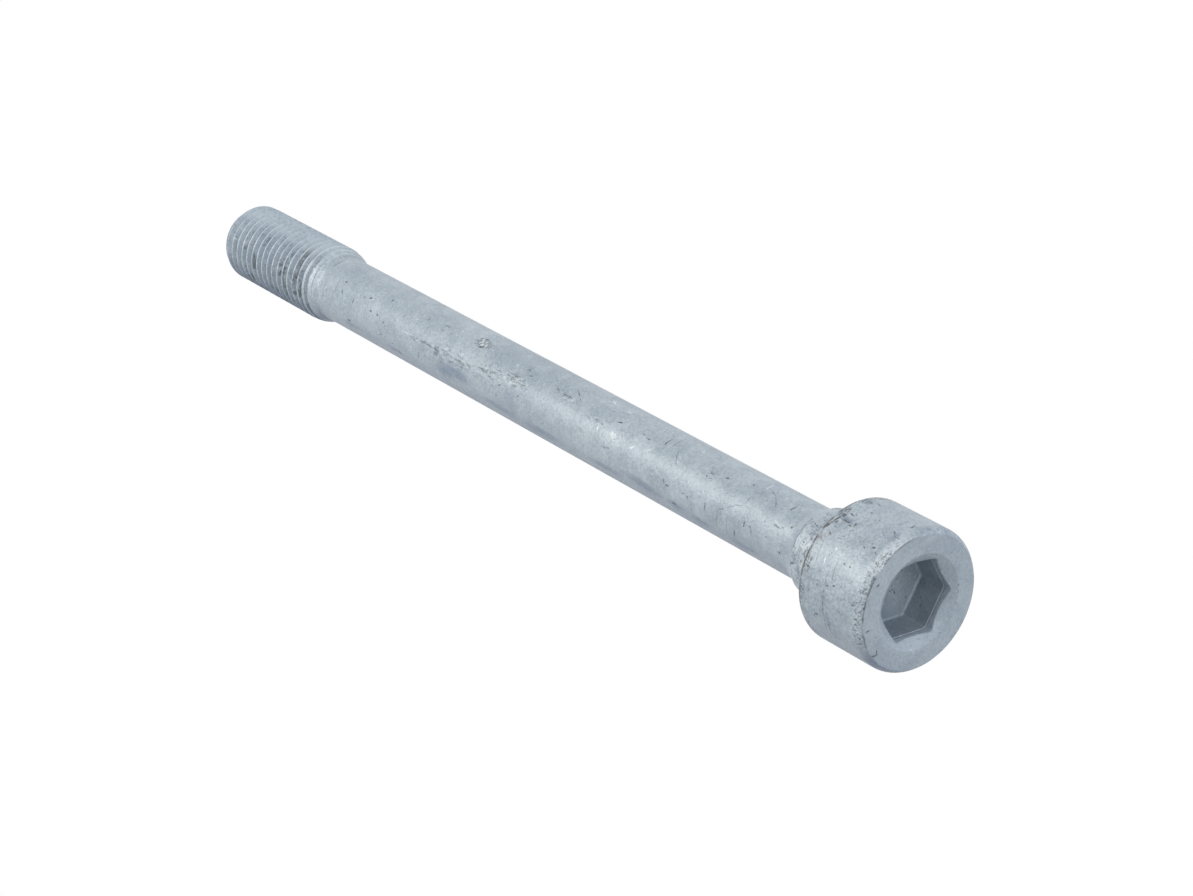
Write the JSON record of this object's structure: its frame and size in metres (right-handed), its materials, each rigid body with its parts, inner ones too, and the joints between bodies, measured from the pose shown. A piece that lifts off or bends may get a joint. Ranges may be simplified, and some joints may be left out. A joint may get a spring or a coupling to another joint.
{
  "type": "cylinder head bolt",
  "caption": "Hexagon socket cylinder head bolt in one piece, with a centring collar under the head, a long waisted shank and a short fine metric thread.",
  "frame": {"origin": "centre of the flat outer face of the head, which the bolt stands on", "axes": "+Z along the bolt's axis, from the head to the thread's tip; +X through a corner of the hexagon socket"},
  "size_m": [0.016, 0.016, 0.1315],
  "materials": {
    "coated_steel": "matte pale grey zinc flake coating with small scuffs, specks and pits"
  },
  "bodies": {
    "root": {"cylinder_head_bolt": "coated_steel"}
  },
  "joints": []
}
